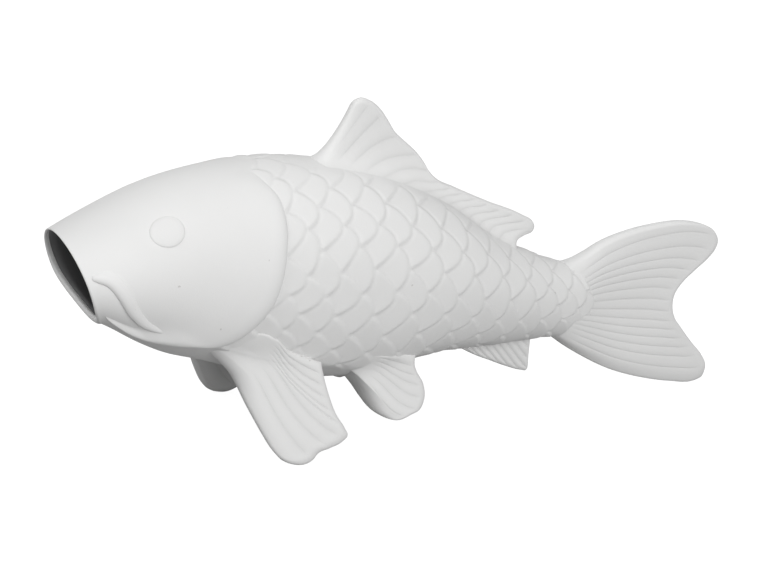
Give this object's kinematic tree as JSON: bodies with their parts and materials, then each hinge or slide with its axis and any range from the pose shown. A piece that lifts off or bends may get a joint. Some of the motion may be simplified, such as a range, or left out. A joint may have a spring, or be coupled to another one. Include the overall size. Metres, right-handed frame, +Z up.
{
  "type": "fish figurine",
  "caption": "Hollow white bisque carp ornament with an open mouth, raised gill covers and applied fins, standing on its breast fins and tail.",
  "frame": {"origin": "centre of the bounding box at floor level", "axes": "+X from the nose to the tail, +Z up from the floor, the fish's left side at -Y"},
  "size_m": [0.403, 0.1034, 0.1751],
  "materials": {
    "bisque": "matt white unglazed bisque",
    "dark_glaze": "dark charcoal satin glaze"
  },
  "bodies": {
    "root": {"body_shell": "bisque", "inner_lining": "dark_glaze", "left_gill_cover": "bisque", "right_gill_cover": "bisque", "left_eye": "bisque", "right_eye": "bisque", "left_barbel": "bisque", "right_barbel": "bisque", "dorsal_fin": "bisque", "anal_fin": "bisque", "tail_fin": "bisque", "left_pectoral_fin": "bisque", "right_pectoral_fin": "bisque", "left_pelvic_fin": "bisque", "right_pelvic_fin": "bisque"}
  },
  "joints": []
}
